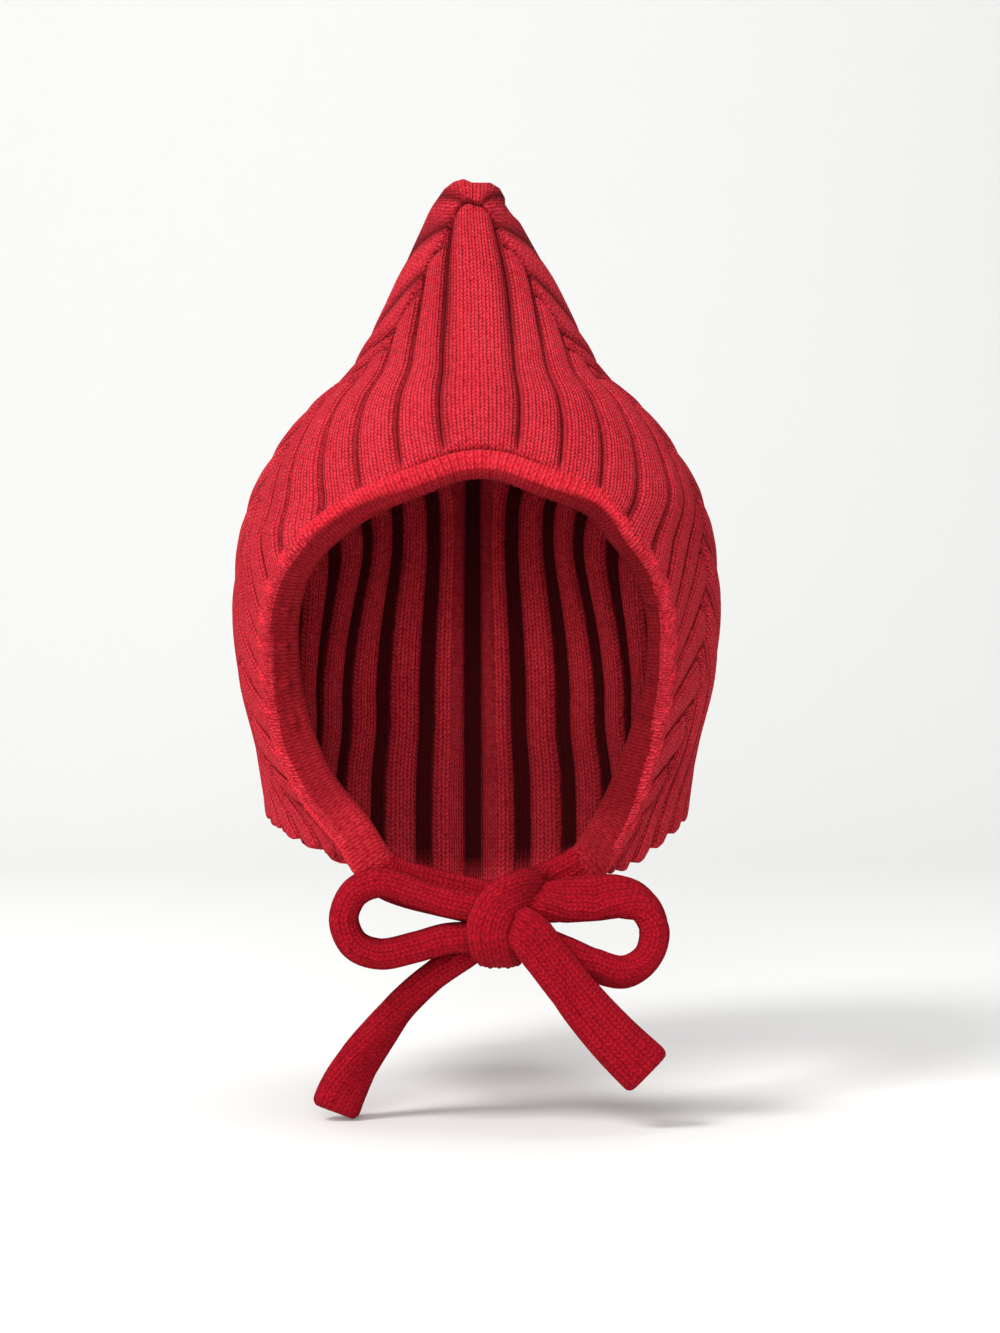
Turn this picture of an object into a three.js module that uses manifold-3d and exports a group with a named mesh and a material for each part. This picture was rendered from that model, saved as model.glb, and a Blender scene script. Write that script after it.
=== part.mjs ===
import * as THREE from 'three';
import { mergeVertices } from 'three/addons/utils/BufferGeometryUtils.js';
import Module from 'manifold-3d';

// A pointed knitted bonnet with wide ribs, a bound face opening and two flat knitted ties in a bow.
// Lengths are millimetres and angles are degrees. The origin is where the crown of the head sits
// inside the hood, on its middle plane. The face looks along -Y, and +Z is up.

// Driving dimensions of the knit
const ribsPerSide = 13;
const wallThickness = 7;
const grooveDepth = 2.8;
const innerGapDepth = 3.4;
const mitreDepth = 2.2;
const bandWidth = 11;
const bandThickness = 8;
const tieWidth = 17.5;
const tieThickness = 10.5;
const gap = 0.3;

// Driving dimensions of the mesh
const frontSteps = 6;
const backSteps = 9;
const frontCrowding = 1.4;
const backCrowding = 1.6;
const ridgeEdge = 0.3;

// Level sections of the outside, from the tip down to the nape: half the width, and how far the
// section reaches to the front and to the back of its own centre.
const sections = [
  { height: 84, half: 0, front: 0, back: 0, centre: 14 },
  { height: 83.5, half: 6.4, front: 6.4, back: 6.4, centre: 14 },
  { height: 82.4, half: 10.2, front: 10.2, back: 10.2, centre: 14 },
  { height: 80.5, half: 13.2, front: 13.2, back: 13.2, centre: 14 },
  { height: 77.5, half: 15.6, front: 15.6, back: 15.6, centre: 14 },
  { height: 72, half: 18.4, front: 18.6, back: 19, centre: 13.8 },
  { height: 65, half: 21.8, front: 22.2, back: 23, centre: 13 },
  { height: 45, half: 32.5, front: 32.5, back: 34, centre: 10 },
  { height: 26, half: 41.5, front: 42, back: 44, centre: 7 },
  { height: 13, half: 48.3, front: 50, back: 53, centre: 5 },
  { height: 0, half: 56.2, front: 61, back: 63, centre: 3 },
  { height: -13, half: 70.8, front: 73, back: 74, centre: 1 },
  { height: -32, half: 86, front: 89, back: 86, centre: 0 },
  { height: -58, half: 99, front: 109, back: 96, centre: 0 },
  { height: -95, half: 104.5, front: 128, back: 102, centre: 0 },
  { height: -130, half: 102, front: 134, back: 101, centre: 0 },
  { height: -160, half: 94.8, front: 131, back: 96, centre: 0 },
  { height: -185, half: 91.2, front: 122, back: 90, centre: 0 },
  { height: -225, half: 88, front: 112, back: 85, centre: 0 },
  { height: -232, half: 87.5, front: 110.5, back: 84.3, centre: 0 },
];

// Grooves between the ribs on one side, counted from the middle rib. Each runs from the face rim up
// to the mitre, where it turns, and down to the hem. Angles are measured from the front, round the
// head.
const grooves = [
  { groove: 0.5, rimAngle: 9.4, rimHeight: -37.6, mitreAngle: 28, mitreHeight: 63.5, hemHeight: -226.5 },
  { groove: 1.5, rimAngle: 19.8, rimHeight: -45.2, mitreAngle: 43, mitreHeight: 42, hemHeight: -223.5 },
  { groove: 2.5, rimAngle: 29.4, rimHeight: -54.5, mitreAngle: 52, mitreHeight: 17.5, hemHeight: -218 },
  { groove: 3.5, rimAngle: 37, rimHeight: -67.1, mitreAngle: 61, mitreHeight: 3.5, hemHeight: -210.5 },
  { groove: 4.5, rimAngle: 45.4, rimHeight: -82, mitreAngle: 69, mitreHeight: -7, hemHeight: -202 },
  { groove: 5.5, rimAngle: 49.5, rimHeight: -93.5, mitreAngle: 71, mitreHeight: -23.5, hemHeight: -197 },
  { groove: 6.5, rimAngle: 51.8, rimHeight: -106, mitreAngle: 72, mitreHeight: -46, hemHeight: -193 },
  { groove: 7.5, rimAngle: 52.5, rimHeight: -117.5, mitreAngle: 71, mitreHeight: -68, hemHeight: -191 },
  { groove: 8.5, rimAngle: 53.1, rimHeight: -129.5, mitreAngle: 70, mitreHeight: -91, hemHeight: -194 },
  { groove: 9.5, rimAngle: 53.4, rimHeight: -143, mitreAngle: 69.5, mitreHeight: -114, hemHeight: -198 },
  { groove: 10.5, rimAngle: 52.5, rimHeight: -159, mitreAngle: 69, mitreHeight: -138, hemHeight: -201 },
  { groove: 11.5, rimAngle: 47.4, rimHeight: -176.5, mitreAngle: 65, mitreHeight: -160, hemHeight: -203.5 },
  { groove: 12.5, rimAngle: 41.6, rimHeight: -188.5, mitreAngle: 51, mitreHeight: -182, hemHeight: -205 },
  { groove: 13.5, rimAngle: 35.8, rimHeight: -197.5, mitreAngle: 37, mitreHeight: -201, hemHeight: -205.5 },
];

// The middle of the centre rib, where the front panel ends under the tip, and its two other ends
const centreRib = { rimHeight: -35.2, mitreHeight: 74, hemHeight: -227.5 };

// Behind the mitre the ribs fan out from the middle of the back. At 1 they stand at even angles;
// lower values crowd them at the back and higher ones towards the front.
const fans = [
  { height: 84, spread: 1 },
  { height: 22, spread: 1 },
  { height: -12, spread: 0.84 },
  { height: -50, spread: 0.69 },
  { height: -62, spread: 0.71 },
  { height: -78, spread: 0.77 },
  { height: -97, spread: 0.9 },
  { height: -120, spread: 1.085 },
  { height: -143, spread: 1.27 },
  { height: -170, spread: 1.44 },
  { height: -200, spread: 1.45 },
  { height: -232, spread: 1.44 },
];

// How far the ribs beside the middle of the back crowd together, at most
const crowdAngle = 6;

// The bow: its knot, and the routes of the ties through it. The turn is the angle of a tie's flat
// side: at 0 it faces up or down and at 90 it faces the front.
const knot = { x: 9.8, y: -110.5, z: -223.7, halfX: 15.8, halfY: 19, halfZ: 18.3, squareness: 0.72 };
const knotMesh = { around: 20, down: 12 };

const leftStrap = [
  { x: -46.8, y: -95.8, z: -199.6, turn: 90 },
  { x: -36, y: -95.8, z: -208, turn: 90 },
  { x: -28, y: -95.8, z: -211, turn: 90 },
  { x: -16, y: -95.8, z: -214, turn: 90 },
  { x: -2, y: -95.8, z: -217.2, turn: 90 },
];

const rightStrap = [
  { x: 46.4, y: -97.4, z: -199, turn: 90 },
  { x: 38.4, y: -96.8, z: -205, turn: 90 },
  { x: 33, y: -95.8, z: -208, turn: 90 },
  { x: 27.6, y: -95.8, z: -210.6, turn: 90 },
  { x: 22, y: -95.8, z: -213, turn: 90 },
];

const leftLoop = [
  { x: -1.6, y: -110.5, z: -218.2, turn: 0 },
  { x: -14, y: -110.5, z: -216, turn: 0 },
  { x: -27.2, y: -110.5, z: -211.8, turn: 0 },
  { x: -40.5, y: -110.5, z: -208.2, turn: 0 },
  { x: -50.3, y: -110.5, z: -212.4, turn: 0 },
  { x: -54.5, y: -110.5, z: -222.6, turn: 0 },
  { x: -50.3, y: -110.5, z: -232.8, turn: 0 },
  { x: -40.5, y: -110.5, z: -236.6, turn: 0 },
  { x: -26.5, y: -110.5, z: -234, turn: 0 },
  { x: -14, y: -110.5, z: -230.6, turn: 0 },
  { x: -1.6, y: -110.5, z: -229.8, turn: 0 },
];

const rightLoop = [
  { x: 21, y: -110.5, z: -217.2, turn: 0 },
  { x: 33, y: -110.5, z: -215.5, turn: 40 },
  { x: 44.1, y: -110.5, z: -214.6, turn: 66 },
  { x: 55.2, y: -110.5, z: -214.3, turn: 46 },
  { x: 64.1, y: -110.5, z: -218.2, turn: 15 },
  { x: 68.4, y: -110.5, z: -227.8, turn: 0 },
  { x: 65.5, y: -110.5, z: -238.2, turn: 8 },
  { x: 56.6, y: -110.5, z: -244, turn: 24 },
  { x: 44.1, y: -110.5, z: -241.2, turn: 24 },
  { x: 33, y: -110.5, z: -235.8, turn: 10 },
  { x: 21, y: -110.5, z: -230.6, turn: 0 },
];

const rightTail = [
  { x: 16.4, y: -125.2, z: -226, turn: 90 },
  { x: 23.8, y: -125.6, z: -234.5, turn: 90 },
  { x: 32.4, y: -125.2, z: -245.7, turn: 90 },
  { x: 41.5, y: -124, z: -257.4, turn: 90 },
  { x: 52.7, y: -122.5, z: -270, turn: 90 },
  { x: 65.6, y: -121.5, z: -282.6, turn: 90 },
];

const leftTail = [
  { x: 3, y: -91.6, z: -232, turn: 0 },
  { x: -7, y: -91.6, z: -239, turn: 0 },
  { x: -19.6, y: -91.6, z: -248, turn: 6 },
  { x: -31.6, y: -91.8, z: -259, turn: 16 },
  { x: -41.3, y: -92.2, z: -271, turn: 34 },
  { x: -49.8, y: -93, z: -282.8, turn: 56 },
  { x: -55.6, y: -93.6, z: -293.6, turn: 74 },
  { x: -58.8, y: -94, z: -301.8, turn: 84 },
];

// The ties are flat tubes with round edges
const tieSides = 12;
const tieSteps = { strap: 7, loop: 30, tail: 12 };

// The band round the face sits against the rim's edge, turned inwards
const band = { sides: 8, columnStep: 2, overlapAngle: 38, endTrim: 1 };

const wool = { color: 0xa8162a, roughness: 0.92, metalness: 0 };
const bandWool = { color: 0x9c1226, roughness: 0.9, metalness: 0 };
const tieWool = { color: 0xa4142a, roughness: 0.92, metalness: 0 };

const radians = THREE.MathUtils.degToRad;
const lerp = THREE.MathUtils.lerp;

// A smooth curve through one column of a table, read at any value of its key column
function readColumn(rows, key, column, at) {
  const rising = rows[0][key] < rows[rows.length - 1][key];
  const list = rising ? rows : [...rows].reverse();
  let i = list.findIndex((row) => row[key] > at) - 1;
  if (i === -2) {
    i = list.length - 2;
  }
  i = Math.max(0, Math.min(list.length - 2, i));
  const slope = (k) => {
    const a = list[Math.max(0, k - 1)];
    const b = list[Math.min(list.length - 1, k + 1)];
    return (b[column] - a[column]) / (b[key] - a[key]);
  };
  const low = list[i];
  const high = list[i + 1];
  const span = high[key] - low[key];
  const u = THREE.MathUtils.clamp((at - low[key]) / span, 0, 1);
  const u2 = u * u;
  const u3 = u2 * u;
  return (2 * u3 - 3 * u2 + 1) * low[column]
    + (u3 - 2 * u2 + u) * span * slope(i)
    + (3 * u2 - 2 * u3) * high[column]
    + (u3 - u2) * span * slope(i + 1);
}

// How far down the side each height lies from the tip, along the outside
const profile = sections.map(({ height, half }) => ({ height, half, reach: 0 }));
profile.slice(1).forEach((row, i) => {
  row.reach = profile[i].reach + Math.hypot(row.half - profile[i].half, row.height - profile[i].height);
});
const reachAt = (height) => readColumn(profile, 'height', 'reach', height);
const heightAt = (reach) => readColumn(profile, 'reach', 'height', reach);

function bodyPoint(angle, height) {
  const half = readColumn(sections, 'height', 'half', height);
  const centre = readColumn(sections, 'height', 'centre', height);
  const forward = Math.cos(angle);
  const depth = readColumn(sections, 'height', forward > 0 ? 'front' : 'back', height);
  return new THREE.Vector3(half * Math.sin(angle), centre - depth * forward, height);
}

// A groove's angle and height at a step t: 0 at the rim, 1 at the mitre and 2 at the hem
function groovePlace(groove, t) {
  const read = (column) => readColumn(grooves, 'groove', column, groove);
  if (t <= 1) {
    return {
      angle: radians(lerp(read('rimAngle'), read('mitreAngle'), t)),
      height: lerp(read('rimHeight'), read('mitreHeight'), t),
    };
  }
  const height = lerp(read('mitreHeight'), read('hemHeight'), t - 1);
  const spread = readColumn(fans, 'height', 'spread', height);
  const mitreGroove = readColumn(grooves, 'mitreHeight', 'groove', height);
  const share = Math.min(1, groove / mitreGroove);
  const fromBack = 180 - readColumn(grooves, 'mitreHeight', 'mitreAngle', height);
  const step = THREE.MathUtils.smoothstep;
  const crowd = step(share, 0.18, 0.53) * step(1 - share, 0, 0.35) * step(-height, 30, 70);
  const angle = 180 - fromBack * lerp(share ** 3, share, spread) + crowdAngle * crowd;
  return { angle: radians(angle), height };
}

// A point of the smooth outside on any line along a rib. The centre rib passes over the tip, so it
// is worked out on a flat map whose middle is the tip.
function shellPoint(line, t) {
  const side = Math.sign(line) || 1;
  const away = Math.abs(line);
  const edge = grooves[0].groove;
  if (away >= edge) {
    const { angle, height } = groovePlace(away, t);
    return bodyPoint(side * angle, height);
  }
  const { angle, height } = groovePlace(edge, t);
  const reach = reachAt(height);
  const across = line / edge;
  const frontEnd = -reachAt(centreRib.mitreHeight);
  const middle = t <= 1
    ? -reachAt(lerp(centreRib.rimHeight, centreRib.mitreHeight, t))
    : lerp(frontEnd, reachAt(centreRib.hemHeight), t - 1);
  const p = across * reach * Math.sin(angle);
  const q = lerp(middle, -reach * Math.cos(angle), across * across);
  return bodyPoint(Math.atan2(p, -q), heightAt(Math.hypot(p, q)));
}

// Four lines to a rib: the groove, the two edges of the ridge and its middle
const lines = [];
for (let rib = -ribsPerSide; rib <= ribsPerSide; rib += 1) {
  lines.push({ line: rib - 0.5, kind: 'groove' });
  lines.push({ line: rib - ridgeEdge, kind: 'edge' });
  lines.push({ line: rib, kind: 'middle' });
  lines.push({ line: rib + ridgeEdge, kind: 'edge' });
}
lines.push({ line: ribsPerSide + 0.5, kind: 'groove' });

const steps = [];
for (let i = 0; i < frontSteps; i += 1) {
  steps.push(1 - (1 - i / frontSteps) ** frontCrowding);
}
for (let i = 0; i <= backSteps; i += 1) {
  steps.push(1 + (i / backSteps) ** backCrowding);
}

// The smooth outside as a grid of points and outward directions
const grid = lines.map(({ line }) => steps.map((t) => shellPoint(line, t)));
const outward = grid.map((column, c) => column.map((point, r) => {
  const along = grid[c][Math.min(r + 1, steps.length - 1)].clone().sub(grid[c][Math.max(r - 1, 0)]);
  const across = grid[Math.min(c + 1, grid.length - 1)][r].clone().sub(grid[Math.max(c - 1, 0)][r]);
  return across.cross(along).normalize();
}));

function closedGeometry(positions, triangles) {
  const geometry = new THREE.BufferGeometry();
  geometry.setAttribute('position', new THREE.Float32BufferAttribute(positions, 3));
  geometry.setIndex(triangles);
  geometry.computeVertexNormals();
  return geometry;
}

// The ribbed wall: the outside dips at each groove and along the mitre, and the inside at each gap
function hoodShell() {
  const positions = [];
  const triangles = [];
  const rowCount = steps.length;
  const mitreRow = frontSteps;
  const dipAt = { groove: grooveDepth, edge: 0.2, middle: 0 };
  lines.forEach(({ kind }, c) => {
    steps.forEach((t, r) => {
      const dip = Math.max(dipAt[kind], r === mitreRow ? mitreDepth : 0);
      positions.push(...grid[c][r].clone().addScaledVector(outward[c][r], -dip).toArray());
    });
  });
  lines.forEach(({ kind }, c) => {
    steps.forEach((t, r) => {
      const inset = wallThickness - (kind === 'middle' ? innerGapDepth : 0);
      positions.push(...grid[c][r].clone().addScaledVector(outward[c][r], -inset).toArray());
    });
  });
  const inside = lines.length * rowCount;
  const quad = (a, b, c, d) => triangles.push(a, c, b, a, d, c);
  for (let c = 0; c < lines.length - 1; c += 1) {
    for (let r = 0; r < rowCount - 1; r += 1) {
      const a = c * rowCount + r;
      const b = a + rowCount;
      quad(a, a + 1, b + 1, b);
      quad(inside + a, inside + b, inside + b + 1, inside + a + 1);
    }
    const rim = c * rowCount;
    quad(rim, rim + rowCount, inside + rim + rowCount, inside + rim);
    const hem = rim + rowCount - 1;
    quad(hem + rowCount, hem, inside + hem, inside + hem + rowCount);
  }
  const last = (lines.length - 1) * rowCount;
  for (let r = 0; r < rowCount - 1; r += 1) {
    quad(r + 1, r, inside + r, inside + r + 1);
    quad(last + r, last + r + 1, inside + last + r + 1, inside + last + r);
  }
  return closedGeometry(positions, triangles);
}

// A flat tube's section: a rectangle with round edges, drawn as an even polygon
function roundedSection(width, thickness, sides) {
  const round = thickness / 2;
  const straight = width / 2 - round;
  const points = [];
  for (let i = 0; i < sides; i += 1) {
    const angle = ((i + 0.5) / sides) * 2 * Math.PI;
    const x = Math.cos(angle) * round + Math.sign(Math.cos(angle)) * straight;
    points.push(new THREE.Vector2(x, Math.sin(angle) * round));
  }
  return points;
}

// The band is lofted through sections that lean with the rim
function faceBand() {
  const ringCentres = [];
  const rings = [];
  const half = roundedSection(bandWidth, bandThickness, band.sides);
  const turn = radians(band.overlapAngle);
  const first = band.endTrim;
  for (let c = first; c < lines.length - first; c += band.columnStep) {
    const outwards = outward[c][0];
    const forward = grid[c][0].clone().sub(grid[c][1]).normalize();
    const across = forward.clone().multiplyScalar(Math.cos(turn)).addScaledVector(outwards, -Math.sin(turn));
    const through = outwards.clone().multiplyScalar(Math.cos(turn)).addScaledVector(forward, Math.sin(turn));
    const middle = grid[c][0].clone()
      .addScaledVector(outwards, -bandThickness / 2)
      .addScaledVector(forward, gap + bandThickness / 2 * Math.sin(turn))
      .addScaledVector(across, bandWidth / 2);
    ringCentres.push(middle);
    rings.push(half.map(({ x, y }) => middle.clone().addScaledVector(across, x).addScaledVector(through, y)));
  }
  const positions = [...rings.flat(), ringCentres[0], ringCentres.at(-1)].flatMap((point) => point.toArray());
  const triangles = [];
  const sides = band.sides;
  const startCap = rings.length * sides;
  for (let k = 0; k < sides; k += 1) {
    const next = (k + 1) % sides;
    for (let i = 0; i < rings.length - 1; i += 1) {
      const a = i * sides;
      triangles.push(a + k, a + sides + k, a + sides + next, a + k, a + sides + next, a + next);
    }
    const end = (rings.length - 1) * sides;
    triangles.push(startCap, k, next, startCap + 1, end + next, end + k);
  }
  return closedGeometry(positions, triangles);
}

// A tie's route, which keeps its flat side at the angle given in the table
class TieRoute extends THREE.CatmullRomCurve3 {
  constructor(rows) {
    super(rows.map(({ x, y, z }) => new THREE.Vector3(x, y, z)), false, 'centripetal');
    this.turns = rows.map(({ turn }) => turn);
  }

  turnAt(u) {
    const place = this.getUtoTmapping(u) * (this.turns.length - 1);
    const i = Math.min(Math.floor(place), this.turns.length - 2);
    return radians(lerp(this.turns[i], this.turns[i + 1], place - i));
  }

  computeFrenetFrames(segments) {
    const tangents = [];
    const normals = [];
    const binormals = [];
    for (let i = 0; i <= segments; i += 1) {
      const u = i / segments;
      const tangent = this.getTangentAt(u);
      const deep = new THREE.Vector3(0, 1, 0).addScaledVector(tangent, -tangent.y).normalize();
      const wide = deep.applyAxisAngle(tangent, this.turnAt(u));
      tangents.push(tangent);
      normals.push(wide);
      binormals.push(tangent.clone().cross(wide));
    }
    return { tangents, normals, binormals };
  }
}

// A tie, or with some growth the room that it takes in the knot
function tieGeometry(rows, tieStepCount, growth = 0) {
  const ends = new TieRoute(rows);
  const first = ends.getTangentAt(0).multiplyScalar(-growth);
  const last = ends.getTangentAt(1).multiplyScalar(growth);
  const moved = rows.map((row, i) => {
    const shift = i === 0 ? first : last;
    const atEnd = i === 0 || i === rows.length - 1;
    return atEnd ? { ...row, x: row.x + shift.x, y: row.y + shift.y, z: row.z + shift.z } : row;
  });
  const outline = roundedSection(tieWidth + 2 * growth, tieThickness + 2 * growth, tieSides);
  return new THREE.ExtrudeGeometry(new THREE.Shape(outline), {
    steps: tieStepCount,
    extrudePath: new TieRoute(moved),
  });
}

const wasm = await Module();
wasm.setup();

function solidOf(geometry) {
  const bare = geometry.clone();
  bare.deleteAttribute('normal');
  bare.deleteAttribute('uv');
  const merged = mergeVertices(bare, 1e-4);
  return new wasm.Manifold(new wasm.Mesh({
    numProp: 3,
    vertProperties: new Float32Array(merged.attributes.position.array),
    triVerts: new Uint32Array(merged.index.array),
  }));
}

// The knot is a rounded block with a socket for each tie that runs into it
function bowKnot(ties) {
  const ball = new THREE.SphereGeometry(1, knotMesh.around, knotMesh.down);
  const place = ball.attributes.position;
  const squared = (value) => Math.sign(value) * Math.abs(value) ** knot.squareness;
  for (let i = 0; i < place.count; i += 1) {
    const point = new THREE.Vector3().fromBufferAttribute(place, i);
    place.setXYZ(
      i,
      knot.x + squared(point.x) * knot.halfX,
      knot.y + squared(point.y) * knot.halfY,
      knot.z + squared(point.z) * knot.halfZ,
    );
  }
  const cut = ties.reduce((solid, { route, steps: count }) => (
    solid.subtract(solidOf(tieGeometry(route, count, gap)))
  ), solidOf(ball));
  const { vertProperties, triVerts } = cut.getMesh();
  return closedGeometry(Array.from(vertProperties), Array.from(triVerts));
}

function addPiece(group, name, geometry, look) {
  const mesh = new THREE.Mesh(geometry, new THREE.MeshStandardMaterial(look));
  mesh.name = name;
  group.add(mesh);
}

const ties = [
  { name: 'tie_strap_left', route: leftStrap, steps: tieSteps.strap },
  { name: 'tie_strap_right', route: rightStrap, steps: tieSteps.strap },
  { name: 'bow_loop_left', route: leftLoop, steps: tieSteps.loop },
  { name: 'bow_loop_right', route: rightLoop, steps: tieSteps.loop },
  { name: 'bow_tail_left', route: leftTail, steps: tieSteps.tail },
  { name: 'bow_tail_right', route: rightTail, steps: tieSteps.tail },
];

const bonnet = new THREE.Group();
addPiece(bonnet, 'hood_shell', hoodShell(), wool);
addPiece(bonnet, 'face_band', faceBand(), bandWool);
ties.forEach(({ name, route, steps: count }) => addPiece(bonnet, name, tieGeometry(route, count), tieWool));
addPiece(bonnet, 'bow_knot', bowKnot(ties), tieWool);

export default bonnet;
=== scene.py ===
import math

import bpy
import numpy as np
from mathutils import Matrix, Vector


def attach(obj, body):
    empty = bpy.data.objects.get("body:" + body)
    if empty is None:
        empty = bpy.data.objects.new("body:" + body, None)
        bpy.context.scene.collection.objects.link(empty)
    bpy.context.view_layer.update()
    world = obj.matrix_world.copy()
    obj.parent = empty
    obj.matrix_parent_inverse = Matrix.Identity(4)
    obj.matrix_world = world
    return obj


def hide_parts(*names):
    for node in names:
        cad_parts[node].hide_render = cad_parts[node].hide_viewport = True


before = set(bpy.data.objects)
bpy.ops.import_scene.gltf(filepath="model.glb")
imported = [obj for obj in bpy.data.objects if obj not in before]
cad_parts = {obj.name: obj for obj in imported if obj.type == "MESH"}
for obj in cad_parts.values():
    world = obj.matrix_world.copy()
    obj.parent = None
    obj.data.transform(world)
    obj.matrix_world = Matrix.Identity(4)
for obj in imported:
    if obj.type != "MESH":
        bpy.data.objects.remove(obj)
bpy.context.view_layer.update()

# A pointed rib-knit bonnet with a bound face opening and two flat knitted ties in a bow.
# Lengths are metres, angles are degrees, and the hood's own tables are in millimetres.
# The face looks along -Y and +Z is up.

camera = {
    "filmHeight": 36,
    "imageHeight": 1333,
    "focalPixels": 3140,
    "eye": (-0.025, -1.350, -0.0967),
    "aim": (0.0101, 0.0, -0.1253),
}


def makeCamera():
    data = bpy.data.cameras.new("photoCamera")
    data.sensor_fit = "VERTICAL"
    data.sensor_height = camera["filmHeight"]
    data.lens = camera["filmHeight"] * camera["focalPixels"] / camera["imageHeight"]
    holder = bpy.data.objects.new("photoCamera", data)
    bpy.context.scene.collection.objects.link(holder)
    holder.location = camera["eye"]
    sight = Vector(camera["aim"]) - Vector(camera["eye"])
    holder.rotation_euler = sight.to_track_quat("-Z", "Y").to_euler()
    bpy.context.scene.camera = holder


makeCamera()
print("camera set")


# a Wire is a node's output, and sums on it add Math nodes
class Wire:
    def __init__(self, tree, socket):
        self.tree = tree
        self.socket = socket

    def math(self, operation, *values):
        node = self.tree.nodes.new("ShaderNodeMath")
        node.operation = operation
        for slot, value in zip(node.inputs, values):
            connect(self.tree, slot, value)
        return Wire(self.tree, node.outputs[0])

    def __add__(self, other):
        return self.math("ADD", self, other)

    def __radd__(self, other):
        return self.math("ADD", other, self)

    def __sub__(self, other):
        return self.math("SUBTRACT", self, other)

    def __rsub__(self, other):
        return self.math("SUBTRACT", other, self)

    def __mul__(self, other):
        return self.math("MULTIPLY", self, other)

    def __rmul__(self, other):
        return self.math("MULTIPLY", other, self)

    def __truediv__(self, other):
        return self.math("DIVIDE", self, other)

    def __rtruediv__(self, other):
        return self.math("DIVIDE", other, self)

    def __abs__(self):
        return self.math("ABSOLUTE", self)

    def __gt__(self, other):
        return self.math("GREATER_THAN", self, other)

    def fraction(self):
        return self.math("FRACT", self)

    def root(self):
        return self.math("SQRT", self)

    def atLeast(self, other):
        return self.math("MAXIMUM", self, other)

    def atMost(self, other):
        return self.math("MINIMUM", self, other)

    def clamped(self):
        return self.atLeast(0).atMost(1)

    def blend(self, low, high):
        return low + self * (high - low)


def connect(tree, slot, value):
    if isinstance(value, Wire):
        tree.links.new(value.socket, slot)
    else:
        slot.default_value = value


class Graph:
    def __init__(self, tree):
        self.tree = tree

    def add(self, kind, settings=None, values=None, output=0):
        node = self.tree.nodes.new(kind)
        for name, setting in (settings or {}).items():
            setattr(node, name, setting)
        for name, value in (values or {}).items():
            connect(self.tree, node.inputs[name], value)
        return Wire(self.tree, node.outputs[output])

    def mixColours(self, share, low, high):  # sockets 6 and 7 hold a mix's two colours
        values = {"Factor": share, 6: low, 7: high}
        return self.add("ShaderNodeMix", {"data_type": "RGBA"}, values, 2)

    def read(self, name, kind="FLOAT"):
        return self.add("GeometryNodeInputNamedAttribute", {"data_type": kind}, {"Name": name})

    def moveBy(self, geometry, direction, distance):
        offset = self.add("ShaderNodeVectorMath", {"operation": "SCALE"}, {
            0: direction, "Scale": distance})
        return self.add("GeometryNodeSetPosition", None, {"Geometry": geometry, "Offset": offset})

    def keepShade(self, geometry, shade):
        return self.add("GeometryNodeStoreNamedAttribute", {"data_type": "FLOAT", "domain": "POINT"}, {
            "Geometry": geometry, "Name": "shade", "Value": shade})


def meshObject(name, points, faces, material):
    mesh = bpy.data.meshes.new(name)
    mesh.from_pydata(np.asarray(points).tolist(), [], [list(face) for face in faces])
    mesh.materials.append(material)
    mesh.polygons.foreach_set("use_smooth", [True] * len(mesh.polygons))
    piece = bpy.data.objects.new(name, mesh)
    bpy.context.scene.collection.objects.link(piece)
    return piece


def giveAttribute(piece, name, values, kind="FLOAT"):
    data = piece.data.attributes.new(name, kind, "POINT").data
    data.foreach_set("vector" if kind == "FLOAT_VECTOR" else "value", np.asarray(values, float).ravel())


def giveMap(piece, corners):
    layer = piece.data.uv_layers.new(name="knit")
    layer.data.foreach_set("uv", np.asarray(corners, float).ravel())


def applyTree(piece, tree, inputs):
    modifier = piece.modifiers.new(tree.name, "NODES")
    modifier.node_group = tree
    for item in tree.interface.items_tree:
        if item.item_type == "SOCKET" and item.in_out == "INPUT" and item.name in inputs:
            modifier[item.identifier] = inputs[item.name]
    seen = piece.evaluated_get(bpy.context.evaluated_depsgraph_get())
    result = bpy.data.meshes.new_from_object(seen)
    result.name = piece.name
    piece.modifiers.clear()
    piece.data = result


def startTree(name, sizes):
    tree = bpy.data.node_groups.new(name, "GeometryNodeTree")
    tree.interface.new_socket(name="Geometry", in_out="INPUT", socket_type="NodeSocketGeometry")
    for label, value in sizes.items():
        socket = tree.interface.new_socket(name=label, in_out="INPUT", socket_type="NodeSocketFloat")
        socket.default_value = value
    tree.interface.new_socket(name="Material", in_out="INPUT", socket_type="NodeSocketMaterial")
    tree.interface.new_socket(name="Geometry", in_out="OUTPUT", socket_type="NodeSocketGeometry")
    entry = tree.nodes.new("NodeGroupInput")
    wires = {slot.name: Wire(tree, slot) for slot in entry.outputs if slot.name}
    return tree, Graph(tree), wires


def endTree(graph, geometry, material):
    whole = graph.add("GeometryNodeRealizeInstances", None, {"Geometry": geometry})
    dressed = graph.add("GeometryNodeSetMaterial", None, {"Geometry": whole, "Material": material})
    exitNode = graph.tree.nodes.new("NodeGroupOutput")
    connect(graph.tree, exitNode.inputs[0], dressed)


# one V of plain knitting, from 0 between the yarns to 1 on a yarn
def stitchShape(wale, course, slant):
    offCentre = abs(wale.fraction() - 0.5)
    along = (course + offCentre * slant).fraction() * 2 - 1
    across = (offCentre - 0.25) * 4
    return ((1 - across * across).atLeast(0) * (1 - along * along)).root()


# from 0 on a wale to 1 in the narrow furrow between two wales
def waleFurrow(wale):
    offCentre = abs(wale.fraction() - 0.5) * 2
    squared = offCentre * offCentre
    return squared * squared * squared


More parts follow.
